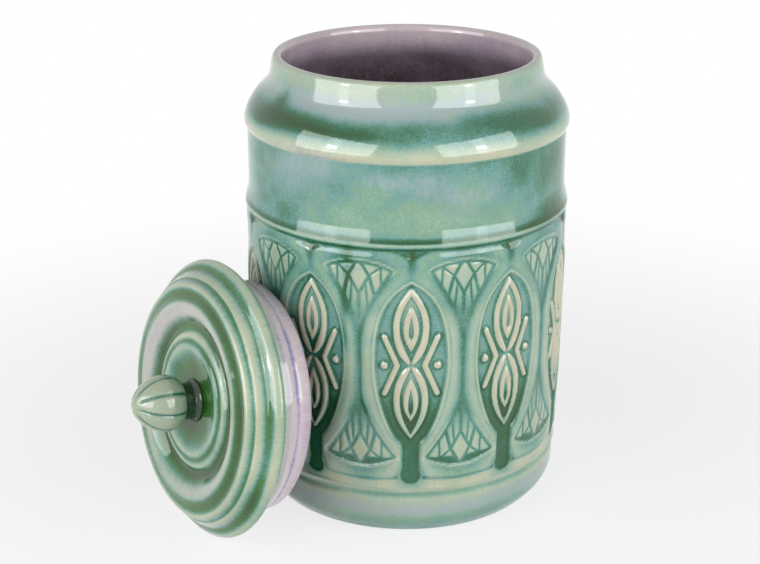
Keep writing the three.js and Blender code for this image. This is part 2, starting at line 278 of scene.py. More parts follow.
def panel_relief(across, height):
    """One panel at each place across it and up it: the height of its surface above the band's
    wall, and what its points carry for the glaze."""
    spots = np.column_stack((across.ravel(), height.ravel()))
    rise = spots[:, 1]
    folded = np.abs(spots)
    beside = np.column_stack((PANEL_HALF - folded[:, 0], rise))
    oval = depth_inside(spots, oval_outline())
    spandrel = depth_inside(beside, spandrel_outline())

    # The frame between oval and spandrel has a fine raised line along the oval and a soft crest
    share = np.clip(oval / np.minimum(oval + spandrel, -0.1), 0, 1)
    along_oval = ramp(rise, *LINE_STARTS)
    line = hump(oval + FRAME_LINE, FRAME_LINE_HALF) * along_oval
    crest = hump(share - CREST_SHARE, CREST_HALF) * (1 - 0.6 * ramp(rise, *CREST_FLATTENS))
    wide = np.maximum(ramp(rise, *WIDE_ABOVE), ramp(rise, *WIDE_BELOW))
    edge_line = hump(spandrel + EDGE_LINE, EDGE_LINE_HALF) * wide
    surface = FRAME_RISE * (line + crest) - FRAME_BACK
    glaze = FRAME_GLAZE - CREST_THINS * crest - EDGE_LINE_THINS * edge_line
    glaze += 0.1 * hump(share - 0.16, 0.1) + 0.1 * ramp(share, 0.75, 0.95)
    bloom = 0.25 * crest * ramp(-oval, 0, 1) * ramp(-spandrel, 0, 1)

    # The floor of the oval carries the leaves, chevrons and dots as raised strokes
    surface -= (SUNK - FRAME_BACK) * ramp(oval, -EDGE / 2, EDGE)
    floor_glaze = FLOOR_GLAZE + 0.28 * ramp(rise, *FLOOR_DARKENS) + 0.12 * hump(oval - 0.7, 0.8)
    stroke = depth_in_stroke(folded, CHEVRON, CHEVRON_HALF)
    stroke = np.maximum(stroke, DOT_RADIUS - np.linalg.norm(folded - DOT, axis=1))
    for outer, hollow in LEAVES:
        leaf = depth_inside(spots, leaf_outline(*outer))
        within = depth_inside(spots, leaf_outline(*hollow))
        from_waist = math.copysign(1, outer[1] - WAIST) * (rise - WAIST)
        loop = np.minimum(np.minimum(leaf, -within), from_waist - WAIST_HALF)
        stroke = np.maximum(stroke, loop)
        paler = ramp(rise, min(hollow[:3]), max(hollow[:3])) - 0.15
        floor_glaze -= HOLLOW_THINS * paler * ramp(within, 0, 0.8)
    floor_glaze -= 0.2 * hump(folded[:, 0], 2.0) * hump(rise - WAIST, 1.6)
    glaze += (floor_glaze - glaze) * ramp(oval, -0.3, 0.6)
    surface += (SUNK - STROKE_BACK) * ramp(stroke, -0.2, EDGE * 0.8)

    # The spandrels are sunk too, and lozenges stand in their wide ends
    upper = rise > WAIST
    along = np.where(upper, rise - UPPER_LOZENGE, LOWER_LOZENGE - rise)
    lattice = lattice_lines(beside[:, 0], along)
    in_valley = ramp(-along, 2, LOZENGE_REACH)
    # Under the lowest lozenges of a lower spandrel a crescent is left flat and given darker glaze: painted
    # shade under the lozenges
    shaded_crescent = ramp(along, 2.6, 4.4) * ramp(-lattice[1], 0, 0.9) * (1 - upper)
    surface -= SPANDREL_SUNK * ramp(spandrel, -EDGE / 2, EDGE * 0.7)
    lozenge = (1 - in_valley) * (1 - shaded_crescent)
    off_lines = ramp(np.min(np.abs(lattice), axis=0), 0.3, 1.6)
    surface += LOZENGE_RISE * lozenge * off_lines * ramp(spandrel, 0.6, 1.9)
    glaze += (SPANDREL_GLAZE + 0.1 * shaded_crescent - glaze) * ramp(spandrel, -0.7, 0.3)

    # The band's top edge is rounded, with a notch over each oval, and its foot steps in
    notch_line = NOTCH_TOP - NOTCH_DIP * np.exp(-(folded[:, 0] / NOTCH_WIDTH) ** 1.4)
    notch = ramp(rise - notch_line, -0.8, 0.8)
    groove = hump(folded[:, 0], GROOVE_HALF) * ramp(rise, GROOVE_FOOT, GROOVE_FOOT + 10)
    surface -= NOTCH_DEPTH * notch + GROOVE_DEPTH * groove
    surface -= ROUNDED_OFF * ramp(rise, ROUNDED_FROM, ROUNDED_TO)
    glaze += 0.3 * groove + 0.26 * hump(rise - notch_line, 0.8) + 0.12 * notch
    border_line = BORDER_STEP + BORDER_SAG * (beside[:, 0] / PANEL_HALF) ** 2
    border = ramp(border_line - rise, -0.6, 0.8)
    surface -= BORDER_DEPTH * border * ramp(-oval, -0.5, 0.8)
    glaze += (0.36 * hump(rise - border_line, 0.9) - 0.16 * border) * ramp(-oval, 0, 2)

    # Glaze has run down the channel and stands in the pool under it
    pool = ramp(oval, -1.2, 2.2) * ramp(rise, *POOL_STARTS)
    glaze = np.maximum(glaze, POOL_GLAZE * pool)
    fields = {
        "surface": surface, "glaze": glaze, "stroke": stroke, "spandrel": spandrel,
        "long_line": lattice[0], "bent_line": lattice[1], "thin_line": lattice[2],
        "lozenge": lozenge, "bloom": bloom,
        "frame_line": (oval + FRAME_LINE) / np.maximum(along_oval, 0.05)}
    return {name: field.reshape(across.shape) for name, field in fields.items()}


def sector_mesh(name, rings):
    """A sector of a turned piece, from rings of points (angle, radius, height) with what they
    carry. A ring may have a whole number of times the points of its neighbour."""
    mesh = bpy.data.meshes.new(name)
    places, faces, starts = [], [], []
    for ring in rings:
        starts.append(len(places))
        for angle, radius, height in ring["points"]:
            places.append((radius * math.cos(angle) * MM, radius * math.sin(angle) * MM, height * MM))
    for lower, upper, low, high in zip(rings[:-1], rings[1:], starts[:-1], starts[1:]):
        low_count, high_count = len(lower["points"]) - 1, len(upper["points"]) - 1
        count = min(low_count, high_count)
        for k in range(count):
            near = [low + k * low_count // count + i for i in range(low_count // count + 1)]
            far = [high + k * high_count // count + i for i in range(high_count // count + 1)]
            faces.append(near + far[::-1])
    mesh.from_pydata(places, [], faces)
    for attribute, usual in ATTRIBUTES.items():
        values = np.concatenate([
            np.broadcast_to(ring.get(attribute, usual), len(ring["points"])) for ring in rings])
        mesh.attributes.new(attribute, "FLOAT", "POINT").data.foreach_set("value", values)
    return mesh


def add_node(tree, kind, links=None, **settings):
    """A new node with its settings. Each link sets an input, by name or number, to a value, or
    joins it to an output; a node stands for its own first output."""
    made = tree.nodes.new(kind)
    for name, value in settings.items():
        setattr(made, name, value)
    for key, value in (links or {}).items():
        if isinstance(value, bpy.types.Node):
            value = value.outputs[0]
        if isinstance(value, bpy.types.NodeSocket):
            tree.links.new(value, made.inputs[key])
        else:
            made.inputs[key].default_value = value
    return made


def ring_tree():
    """Copies of one sector set side by side round the Z axis and merged into a closed ring."""
    tree = bpy.data.node_groups.new("ring of sectors", "GeometryNodeTree")
    face = tree.interface
    face.new_socket("Sector", in_out="INPUT", socket_type="NodeSocketGeometry")
    face.new_socket("Count", in_out="INPUT", socket_type="NodeSocketInt")
    face.new_socket("Turn", in_out="INPUT", socket_type="NodeSocketFloat")
    face.new_socket("Glaze", in_out="INPUT", socket_type="NodeSocketMaterial")
    face.new_socket("Ring", in_out="OUTPUT", socket_type="NodeSocketGeometry")
    given = tree.nodes.new("NodeGroupInput").outputs
    points = add_node(tree, "GeometryNodePoints", {"Count": given["Count"]})
    index = add_node(tree, "GeometryNodeInputIndex")
    step = add_node(tree, "ShaderNodeMath", {0: 2 * math.pi, 1: given["Count"]}, operation="DIVIDE")
    angle = add_node(tree, "ShaderNodeMath", {0: index, 1: step, 2: given["Turn"]},
                     operation="MULTIPLY_ADD")
    spin = add_node(tree, "ShaderNodeCombineXYZ", {"Z": angle})
    rotation = add_node(tree, "FunctionNodeEulerToRotation", {0: spin})
    copies = add_node(tree, "GeometryNodeInstanceOnPoints",
                      {"Points": points, "Instance": given["Sector"], "Rotation": rotation})
    solid = add_node(tree, "GeometryNodeRealizeInstances", {0: copies})
    closed = add_node(tree, "GeometryNodeMergeByDistance", {"Geometry": solid, "Distance": 0.01 * MM})
    smooth = add_node(tree, "GeometryNodeSetShadeSmooth", {"Geometry": closed})
    glazed = add_node(tree, "GeometryNodeSetMaterial", {"Geometry": smooth, "Material": given["Glaze"]})
    add_node(tree, "NodeGroupOutput", {0: glazed})
    return tree


RING_TREE = ring_tree()


def ring_piece(name, sector, count, turn, glaze, flow):
    """A whole turned piece from one of its sectors. Flow is a function that gives each point its
    place in the glaze's patterns."""
    piece = bpy.data.objects.new(name, sector)
    bpy.context.scene.collection.objects.link(piece)
    modifier = piece.modifiers.new("ring", "NODES")
    modifier.node_group = RING_TREE
    inputs = {"Count": count, "Turn": turn, "Glaze": glaze}
    for socket in RING_TREE.interface.items_tree:
        if socket.name in inputs:
            modifier[socket.identifier] = inputs[socket.name]
    evaluated = piece.evaluated_get(bpy.context.evaluated_depsgraph_get())
    whole = bpy.data.meshes.new_from_object(evaluated)
    piece.modifiers.remove(modifier)
    piece.data = whole
    spots = np.empty(len(whole.vertices) * 3)
    whole.vertices.foreach_get("co", spots)
    pattern = np.column_stack(flow(*spots.reshape(-1, 3).T))
    whole.attributes.new("flow", "FLOAT_VECTOR", "POINT").data.foreach_set("vector", pattern.ravel())
    return piece


# How tall a patch of glaze is on a wall for its width
WALL_PATCH = 0.8


def on_the_wall(x, y, z):
    """Places in the glaze's patterns on an upright wall, where a patch is wider than it is tall."""
    return x, y, z / WALL_PATCH


# The glaze is a running copper glaze over pale earthenware, fired glossy: cream where it is thin
# on an edge, sea green where it lies evenly, bottle green where it has run together, mauve inside.

JAR_COLOURS = [
    (0.0, "#cdc9b0"), (0.14, "#bfc5a9"), (0.3, "#a5bca6"), (0.42, "#8bb09c"), (0.5, "#77a58c"),
    (0.57, "#659c9a"), (0.66, "#46866f"), (0.76, "#226a4c"), (0.88, "#0f5a28"), (1.0, "#0a4600"),
]
# The dark last stop of the mauve ramp, reached deep inside the jar, is painted shade
LINING_COLOURS = [
    (0.0, "#8f8bb8"), (0.1, "#b0a6c6"), (0.22, "#d4c4d2"), (0.34, "#dccacb"), (0.48, "#ccbac8"),
    (0.62, "#b4a2b4"), (1.0, "#5a4c51"),
]
BLOOM_COLOUR = "#a4b1b9"
OLIVE_COLOUR = "#9aa067"
OLIVE_MOST = 0.22
# Sizes of the glaze's patterns; a streak is drawn out to a number of times its width
RUN_SIZE = 24
MOTTLE_SIZE = 1.0
STREAK_SIZE, STREAK_LENGTH = 2.4, 2.5
CLOUD_SIZE = 15
# Changes of thickness: thinner on strokes, lozenges and lines, thicker at the foot of a stroke, where
# pooled glaze and painted shade along its edge darken it together, and uneven by the swing of each pattern
STROKE_THINS, LOZENGE_THINS, LINE_THINS = 0.58, 0.44, 0.32
# Darker glaze at the foot of a stroke: partly pooled glaze, partly painted shade
FILLET_POOL_AND_SHADE = 0.2
RUN_SWING, MOTTLE_SWING, STREAK_SWING = 0.4, 0.3, 0.12
HAZE_MOST = 0.75
# A lead glaze is smooth, and bends light more than window glass does, so it mirrors more
GLOSS_ROUGHNESS = 0.05
GLAZE_IOR = 1.66
# The lines between the lozenges, and the half width of each
LATTICE = [("long_line", 0.85), ("bent_line", 0.85), ("thin_line", 0.5)]

# Where the glaze has run together and where it has bloomed pale: bearing in degrees, height, half
# width round the jar, half height, and how strongly
POOLS = [
    (172, 194.5, 13, 4, 0.3), (187, 197.5, 14, 3.5, 0.3), (204, 197, 14, 2.6, 0.28),
    (219, 196.5, 10, 2.0, 0.22), (180, 205, 5, 7, 0.3), (266, 202, 12, 3.5, 0.12),
    (284, 203, 10, 5, 0.15), (295, 196, 10, 4, 0.2), (286, 212, 8, 4, 0.14),
    (175, 158, 9, 6, 0.14), (192, 156, 8, 6, 0.18), (211, 169, 8, 9, 0.1),
    (264, 184, 10, 3, 0.12), (279, 176, 10, 10, 0.12), (182, 170, 18, 14, 0.14),
    (296, 172, 18, 20, 0.18), (306, 170, 8, 24, 0.14), (297, 154, 12, 5, 0.25),
    (288, 150, 12, 3, 0.2), (238, 149.5, 14, 1.6, 0.15), (216, 136, 2.4, 10, 0.28),
    (215, 118, 2.4, 14, 0.25), (215, 104, 2.0, 8, 0.2),
]
BLOOMS = [
    (180, 178, 12, 10, 0.6), (195, 178, 14, 12, 0.9), (208, 182, 12, 7, 0.7), (230, 178, 14, 6, 0.8),
    (245, 175, 12, 7, 0.8), (254, 167, 10, 6, 0.6), (266, 171, 10, 7, 0.6),
    (195, 206, 14, 3.5, 0.8), (213, 205, 14, 4.5, 0.8), (230, 204, 12, 4, 0.7), (247, 205, 12, 3.5, 0.7),
    (262, 209, 10, 4, 0.5), (75, 170, 60, 14, 0.7), (120, 204, 60, 4, 0.7), (40, 204, 50, 4, 0.7),
]
# Pale bloom all round the foot and the neck: height, half height and how strongly
RING_BLOOMS = [(15.5, 4.5, 0.9), (208.5, 5.5, 0.6)]
# Share of the mauve glaze on the lip, where it meets the green
LIP_LINING = 0.3


def linear(colour):
    """An sRGB hex colour as linear RGBA."""
    parts = [int(colour[k:k + 2], 16) / 255 for k in (1, 3, 5)]
    return [c / 12.92 if c <= 0.04045 else ((c + 0.055) / 1.055) ** 2.4 for c in parts] + [1]


def running_glaze(name, colours):
    """The glaze as a material. Its thickness comes from the piece's own attributes, made uneven by
    broad runs, a fine mottle and streaks, and its colour from its thickness."""
    material = bpy.data.materials.new(name)
    material.use_nodes = True
    tree = material.node_tree
    tree.nodes.clear()
    flow = add_node(tree, "ShaderNodeAttribute", attribute_name="flow").outputs["Vector"]
    carried = {attribute: add_node(tree, "ShaderNodeAttribute", attribute_name=attribute).outputs["Fac"]
               for attribute in ATTRIBUTES}
    runs, mottle, clouds = [
        add_node(tree, "ShaderNodeTexNoise", {"Vector": flow, "Scale": 1 / (size * MM), "Detail": 3.0})
        for size in (RUN_SIZE, MOTTLE_SIZE, CLOUD_SIZE)]
    long_drawn = add_node(tree, "ShaderNodeMapping", {"Vector": flow, "Scale": (1, 1, 1 / STREAK_LENGTH)})
    streaks = add_node(tree, "ShaderNodeTexNoise", {
        "Vector": long_drawn, "Scale": 1 / (STREAK_SIZE * MM), "Detail": 2.0})

    # Thin on raised strokes, and thicker and darker in the fillet at their foot: pooled glaze, with painted
    # shade along the stroke's edge
    on_stroke = add_node(tree, "ShaderNodeMapRange", {
        "Value": carried["stroke"], "From Min": -0.2, "From Max": 0.45}, interpolation_type="SMOOTHSTEP")
    off_stroke = add_node(tree, "ShaderNodeMath", {0: 1.0, 1: on_stroke}, operation="SUBTRACT")
    near = add_node(tree, "ShaderNodeMapRange", {
        "Value": carried["stroke"], "From Min": -2.0, "From Max": -0.4}, interpolation_type="SMOOTHSTEP")
    fillet = add_node(tree, "ShaderNodeMath", {0: near, 1: off_stroke}, operation="MULTIPLY")
    thickness = add_node(tree, "ShaderNodeMath", {
        0: fillet, 1: FILLET_POOL_AND_SHADE, 2: carried["glaze"]}, operation="MULTIPLY_ADD")
    thickness = add_node(tree, "ShaderNodeMath", {
        0: on_stroke, 1: -STROKE_THINS, 2: thickness}, operation="MULTIPLY_ADD")

    # Thin along the line round each oval
    from_line = add_node(tree, "ShaderNodeMath", {0: carried["frame_line"]}, operation="ABSOLUTE")
    on_line = add_node(tree, "ShaderNodeMapRange", {
        "Value": from_line, "From Min": 0.15, "From Max": 0.95, "To Min": -LINE_THINS, "To Max": 0.0},
        interpolation_type="SMOOTHSTEP")
    thickness = add_node(tree, "ShaderNodeMath", {0: thickness, 1: on_line}, operation="ADD")

    # Thin on the lozenges too, between the lines of their lattice
    lines = 0.0
    for attribute, half in LATTICE:
        distance = add_node(tree, "ShaderNodeMath", {0: carried[attribute]}, operation="ABSOLUTE")
        line = add_node(tree, "ShaderNodeMapRange", {
            "Value": distance, "From Min": half - 0.3, "From Max": half + 0.5, "To Min": 1.0, "To Max": 0.0})
        lines = add_node(tree, "ShaderNodeMath", {0: lines, 1: line}, operation="MAXIMUM")
    inside = add_node(tree, "ShaderNodeMapRange", {
        "Value": carried["spandrel"], "From Min": 0.8, "From Max": 2.0})
    inside = add_node(tree, "ShaderNodeMath", {0: inside, 1: carried["lozenge"]}, operation="MULTIPLY")
    off_lines = add_node(tree, "ShaderNodeMath", {0: 1.0, 1: lines}, operation="SUBTRACT")
    lozenge = add_node(tree, "ShaderNodeMath", {0: inside, 1: off_lines}, operation="MULTIPLY")
    thickness = add_node(tree, "ShaderNodeMath", {
        0: lozenge, 1: -LOZENGE_THINS, 2: thickness}, operation="MULTIPLY_ADD")
    for noise, amount in ((runs, RUN_SWING), (mottle, MOTTLE_SWING), (streaks, STREAK_SWING)):
        swing = add_node(tree, "ShaderNodeMath", {0: noise, 1: amount, 2: -amount / 2},
                         operation="MULTIPLY_ADD")
        thickness = add_node(tree, "ShaderNodeMath", {0: thickness, 1: swing}, operation="ADD")
    glaze_colour = add_node(tree, "ShaderNodeValToRGB", {0: thickness})
    lining_colour = add_node(tree, "ShaderNodeValToRGB", {0: thickness})
    for coloured, stops in ((glaze_colour, colours), (lining_colour, LINING_COLOURS)):
        elements = coloured.color_ramp.elements
        for position, _ in stops[1:-1]:
            elements.new(position)
        for element, (_, colour) in zip(elements, stops):
            element.color = linear(colour)

    # Olive clouds, and a pale bloom that breaks up into streaks and stays off the thickest glaze
    thin_enough = add_node(tree, "ShaderNodeMapRange", {
        "Value": thickness, "From Min": 0.78, "From Max": 0.5})
    olive = add_node(tree, "ShaderNodeMapRange", {
        "Value": clouds, "From Min": 0.45, "From Max": 0.75, "To Max": OLIVE_MOST})
    olive = add_node(tree, "ShaderNodeMath", {0: olive, 1: thin_enough}, operation="MULTIPLY")
    glaze_colour = add_node(tree, "ShaderNodeMixRGB", {
        0: olive, 1: glaze_colour, 2: linear(OLIVE_COLOUR)})
    ragged = add_node(tree, "ShaderNodeMath", {0: streaks, 1: 1.6, 2: -1.4}, operation="MULTIPLY_ADD")
    ragged = add_node(tree, "ShaderNodeMath", {0: mottle, 1: 1.2, 2: ragged}, operation="MULTIPLY_ADD")
    ragged = add_node(tree, "ShaderNodeMath", {0: carried["bloom"], 1: ragged}, operation="ADD")
    hazy = add_node(tree, "ShaderNodeMapRange", {
        "Value": ragged, "From Min": 0.2, "From Max": 1.1, "To Max": HAZE_MOST},
        interpolation_type="SMOOTHSTEP")
    hazy = add_node(tree, "ShaderNodeMath", {0: hazy, 1: thin_enough}, operation="MULTIPLY")
    glaze_colour = add_node(tree, "ShaderNodeMixRGB", {0: hazy, 1: glaze_colour, 2: linear(BLOOM_COLOUR)})
    colour = add_node(tree, "ShaderNodeMixRGB", {0: carried["lining"], 1: glaze_colour, 2: lining_colour})

    pillows = add_node(tree, "ShaderNodeBump", {"Strength": 0.4, "Distance": 0.4 * MM, "Height": lozenge})
    bump = add_node(tree, "ShaderNodeBump", {
        "Strength": 0.04, "Distance": 0.3 * MM, "Height": mottle, "Normal": pillows})
    shader = add_node(tree, "ShaderNodeBsdfPrincipled", {
        "Base Color": colour, "Roughness": GLOSS_ROUGHNESS, "IOR": GLAZE_IOR, "Normal": bump})
    add_node(tree, "ShaderNodeOutputMaterial", {0: shader})
    return material


def add_patches(mesh, attribute, places, over_top):
    """Adds soft patches to what a turned piece carries for its glaze. The middle of a patch is a
    height up the wall, or a radius on the upper side of a piece that is seen over its top."""
    spots = np.empty(len(mesh.vertices) * 3)
    mesh.vertices.foreach_get("co", spots)
    x, y, z = spots.reshape(-1, 3).T / MM
    radius = np.hypot(x, y)
    along = np.where(z > 0, radius, np.inf) if over_top else z
    values = np.empty(len(z))
    carried = mesh.attributes[attribute].data
    carried.foreach_get("value", values)
    for bearing, middle, half_width, half_along, amount in places:
        turn = np.arctan2(y, x) - math.radians(bearing)
        around = radius * np.arctan2(np.sin(turn), np.cos(turn))
        values += amount * hump(around, half_width) * hump(along - middle, half_along)
    carried.foreach_set("value", values)


JAR_GLAZE = running_glaze("celadon glaze fired on the jar", JAR_COLOURS)

foot_outline = soft_outline(FOOT_CORNERS)[:-1]
shoulder_outline = soft_outline(SHOULDER_CORNERS)[1:-1]
inside_outline = soft_outline(INSIDE_CORNERS, longest=10.0)
band_heights = np.linspace(BAND_FOOT, BAND_TOP, BAND_ROWS)
band_along = (band_heights - BAND_FOOT) / (BAND_TOP - BAND_FOOT)
band_radii = BELLY_RADIUS - (BELLY_RADIUS - BAND_FOOT_RADIUS) * (1 - band_along) ** 2
panel_angles = np.linspace(-math.pi, math.pi, PANEL_COLUMNS + 1) / PANEL_COUNT
plain_angles = np.linspace(-math.pi, math.pi, PLAIN_COLUMNS + 1) / PANEL_COUNT
across, up = np.meshgrid(panel_angles * BELLY_RADIUS, band_heights)
panel = panel_relief(across, up)

band_rings = []
for k, (radius, height) in enumerate(zip(band_radii, band_heights)):
    points = np.column_stack((panel_angles, radius + panel["surface"][k], np.full(PANEL_COLUMNS + 1, height)))
    band_rings.append({"points": points, **{name: panel[name][k] for name in panel if name in ATTRIBUTES}})
plain_rings = []
for outline, lining in ((foot_outline, 0.0), (shoulder_outline, 0.0), (inside_outline, 1.0)):
    rings = []
    for radius, height, glaze in outline:
        bloom = sum(most * hump(height - middle, tall) for middle, tall, most in RING_BLOOMS)
        rings.append({"points": [(angle, radius, height) for angle in plain_angles], "glaze": glaze,
                      "lining": lining, "bloom": bloom * (1 - lining)})
    plain_rings.append(rings)
foot_rings, shoulder_rings, inside_rings = plain_rings
inside_rings[0]["lining"] = LIP_LINING

jar_sector = sector_mesh("jar_glazed", foot_rings + band_rings + shoulder_rings + inside_rings)
jar = ring_piece("jar_glazed", jar_sector, PANEL_COUNT, math.radians(PANEL_TURN), JAR_GLAZE,
                 on_the_wall)
add_patches(jar.data, "glaze", POOLS, over_top=False)
add_patches(jar.data, "bloom", BLOOMS, over_top=False)
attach(jar, "jar")
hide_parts("jar_body")


# Lid
# The lid is turned and cast in one, with rings round a small dish, a rounded rim, and a flange
# that drops into the jar's mouth. It stands on its rim and leans on the jar by the flange.

LID_SECTORS = 20
LID_COLUMNS = 10
lid_low, lid_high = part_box("lid")
RIM_RADIUS = (lid_high.y - lid_low.y) / 2 / MM
RIM_EDGE = 2.6
KNOB_TIP = 41.0
# Corners: radius, height over the rim, where the curve starts, glaze thickness, share of lining
LID_CORNERS = [
    (0, 10.0, 0, 0.86, 0), (13, 10.0, 4, 0.86, 0), (19, 10.4, 3, 0.74, 0), (23, 11.6, 2, 0.5, 0),
    (25.6, 12.6, 1.4, 0.18, 0), (28, 11.3, 1.0, 0.86, 0), (29.6, 11.6, 0.6, 0.4, 0),
    (31.2, 11.4, 1.0, 0.12, 0), (32.4, 10.2, 0.4, 0.5, 0), (33.2, 9.5, 0.6, 0.95, 0),
    (36.2, 9.3, 1.2, 1.0, 0), (38.4, 11.0, 1.4, 0.62, 0.05), (41.2, 13.2, 2, 0.2, 0.4),
    (45.2, 14.4, 2.4, 0.16, 0.3), (47.6, 13.6, 1.2, 0.8, 0), (51.2, 12.4, 1.6, 0.96, 0),
    (54.4, 12.8, 1.1, 0.06, 0), (55.6, 11.2, 0.6, 0.44, 0), (56.9, 9.3, 0.5, 0.82, 0),
    (57.8, 9.2, 0.7, 0.12, 0), (59.4, 6.8, 0.8, 0.4, 0), (60.6, 4.8, 0.8, 0.82, 0),
    (62.4, 3.9, 0.7, 0.74, 0), (64.2, 2.7, 0.8, 0.22, 0), (RIM_RADIUS, 0.2, 1.6, 0.36, 0),
    # The darkest glaze where the rim meets the flange is painted shade under the rim
    (63.6, -RIM_EDGE, 1.2, 0.5, 0), (58.4, -RIM_EDGE, 1, 1.0, 0), (57.2, -5.4, 1.2, 0.55, 0.1),
    (57.2, -8.2, 0.8, 0.08, 0.7), (57.1, -10.4, 0.8, 0.4, 0.9), (56.4, -12.0, 0.8, 0.3, 1),
    (55.6, -13.8, 0.7, 0.0, 1), (55.6, -15.6, 0.6, 0.36, 1), (55.2, -18.2, 1.0, 0.48, 1),
    (54.8, -20.4, 1.4, 0.5, 1), (53.2, -22.4, 1.4, 0.6, 1), (50.4, -22.4, 1, 0.4, 1),
    (49.9, -20, 1, 0.5, 1), (49.9, 0, 4, 0.6, 1), (41, 4.5, 4, 0.6, 1), (0, 4.5, 0, 0.6, 1),
]
LID_COLOURS = [
    (0.0, "#cdcab0"), (0.14, "#bcc4a4"), (0.3, "#a2b9a2"), (0.42, "#80a998"), (0.54, "#579181"),
    (0.66, "#377a4e"), (0.78, "#2f6c22"), (0.9, "#275d14"), (1.0, "#1d4a0e"),
]
# Uneven glaze on the rings: bearing from the top of the leaning lid, radius, half width round the
# lid, half width across the ring, and how much thicker; then where the pale ring is mauve
LID_POOLS = [
    (300, 50, 30, 4, 0.08), (150, 50, 34, 4, -0.2), (60, 51, 16, 3, -0.14), (150, 42, 30, 5, 0.16),
    (215, 42, 24, 4, 0.12), (238, 61, 20, 3, 0.22), (262, 61, 10, 4, -0.22), (330, 61, 24, 3, -0.16),
    (180, 61, 24, 3, -0.2), (120, 61, 26, 3, -0.2), (285, 56, 22, 3, -0.14), (200, 57, 26, 3, -0.12),
    (330, 24, 9, 5, 0.16), (120, 24, 12, 5, -0.12), (250, 31, 12, 4, 0.14), (20, 33, 14, 4, -0.18),
]
LID_MAUVE = [(55, 42, 34, 5, 0.25), (150, 42, 30, 6, -0.3), (262, 42, 20, 5, -0.2)]

lid_axis = Vector(frame["joints"][0]["axis"])
lean = math.asin(lid_axis.z)
knob_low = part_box("lid_knob")[0]
lid_middle = Vector((knob_low.x - KNOB_TIP * MM * lid_axis.x, (lid_low.y + lid_high.y) / 2,
                     ((RIM_RADIUS - RIM_EDGE) * math.cos(lean) + RIM_EDGE) * MM))
LID_PLACE = Matrix.Translation(lid_middle) @ Matrix.Rotation(lean - math.pi / 2, 4, "Y")

# How long a patch of glaze is on the lid for its width, and the radius where that holds
LID_PATCH = 1.3
LID_PATCH_RADIUS = 45


def out_from_middle(x, y, z):
    """Places in the glaze's patterns on the lid, where patches run out from the middle."""
    radius = np.maximum(np.hypot(x, y), MM)
    across = LID_PATCH_RADIUS * MM / radius
    return x * across, y * across, radius / LID_PATCH


LID_GLAZE = running_glaze("celadon glaze fired on the lid", LID_COLOURS)

lid_angles = np.linspace(0, 2 * math.pi / LID_SECTORS, LID_COLUMNS + 1)
lid_rings = []
for radius, height, glaze, lining in soft_outline(LID_CORNERS, longest=1.5)[::-1]:
    lid_rings.append({
        "points": [(angle, radius, height) for angle in lid_angles],
        "glaze": glaze, "lining": lining})
lid = ring_piece("lid_glazed", sector_mesh("lid_glazed", lid_rings), LID_SECTORS, 0.0, LID_GLAZE,
                 out_from_middle)
add_patches(lid.data, "glaze", LID_POOLS, over_top=True)
add_patches(lid.data, "lining", LID_MAUVE, over_top=True)
lid.data.transform(LID_PLACE)
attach(lid, "lid")
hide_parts("lid")


# Knob
# The knob is a pressed bud on a short stem, luted into the dish of the lid. Eight lobes run to its
# tip, and the glaze has drawn off them into the grooves between.

LOBES = 8
LOBE_COLUMNS = 24
LOBE_GROOVE, LOBE_GROOVE_HALF = 0.9, 0.75
GROOVE_GLAZE = 0.5
LOBE_TURN = 17
BUD_FOOT = 18.0
# Corners: radius, height over the rim, where the curve starts, glaze thickness
KNOB_CORNERS = [
    # The stem under the bud has the thickest, darkest glaze: pooled glaze, deepened by painted shade under
    # the bud
    (0, 10.3, 0, 1.0), (10.5, 10.3, 0.8, 1.0), (8.8, 12.2, 1.5, 1.0), (8.2, 17.6, 1.2, 0.95),
    (11.2, 18.6, 1.6, 0.5), (13.3, 23, 3.6, 0.36), (13.2, 28.5, 4, 0.3), (10.4, 35, 4, 0.26),
    (4.6, 40.0, 2.5, 0.24), (0, KNOB_TIP, 0, 0.24),
]
KNOB_COLOURS = [
    (0.0, "#cbc8b0"), (0.2, "#b3bda3"), (0.4, "#94ab96"), (0.58, "#66937f"), (0.74, "#386b59"),
    (0.88, "#2a5138"), (1.0, "#1f371b"),
]

KNOB_GLAZE = running_glaze("celadon glaze fired on the knob", KNOB_COLOURS)

lobe_angles = np.linspace(-math.pi, math.pi, LOBE_COLUMNS + 1) / LOBES
knob_rings = []
for radius, height, glaze in soft_outline(KNOB_CORNERS, longest=0.8):
    on_bud = float(ramp(height, BUD_FOOT, BUD_FOOT + 2) * ramp(KNOB_TIP - height, 0, 3))
    from_groove = radius * (math.pi / LOBES - np.abs(lobe_angles))
    groove = hump(from_groove, LOBE_GROOVE_HALF) * on_bud
    radii = np.maximum(radius - LOBE_GROOVE * groove, 0)
    knob_rings.append({
        "points": np.column_stack((lobe_angles, radii, np.full(LOBE_COLUMNS + 1, height))),
        "glaze": glaze + GROOVE_GLAZE * groove})
knob = ring_piece("lid_knob_glazed", sector_mesh("lid_knob_glazed", knob_rings), LOBES,
                  math.radians(LOBE_TURN), KNOB_GLAZE, on_the_wall)
knob.data.transform(LID_PLACE)
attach(knob, "lid")
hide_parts("lid_knob")


# Studio
# A pale floor that fades into a white surround, and two softboxes with a bright middle, one on
# each side of the camera.

CAMERA_PLACE = (-0.4245, -0.6298, 0.3907)
CAMERA_TURN = (69.19, 0, -33.02)
CAMERA_LENS = 77.77
CAMERA_BEARING = 236
LIGHT_TARGET = Vector((0, 0, 0.16))
LIGHT_DISTANCE = 0.95
LIGHT_SIDE = 51
LIGHT_RISE = 17
SOFTBOX = (1.0, 0.62)
SOFTBOX_RADIANCE = 3.6
LAYER_GAP = 0.02
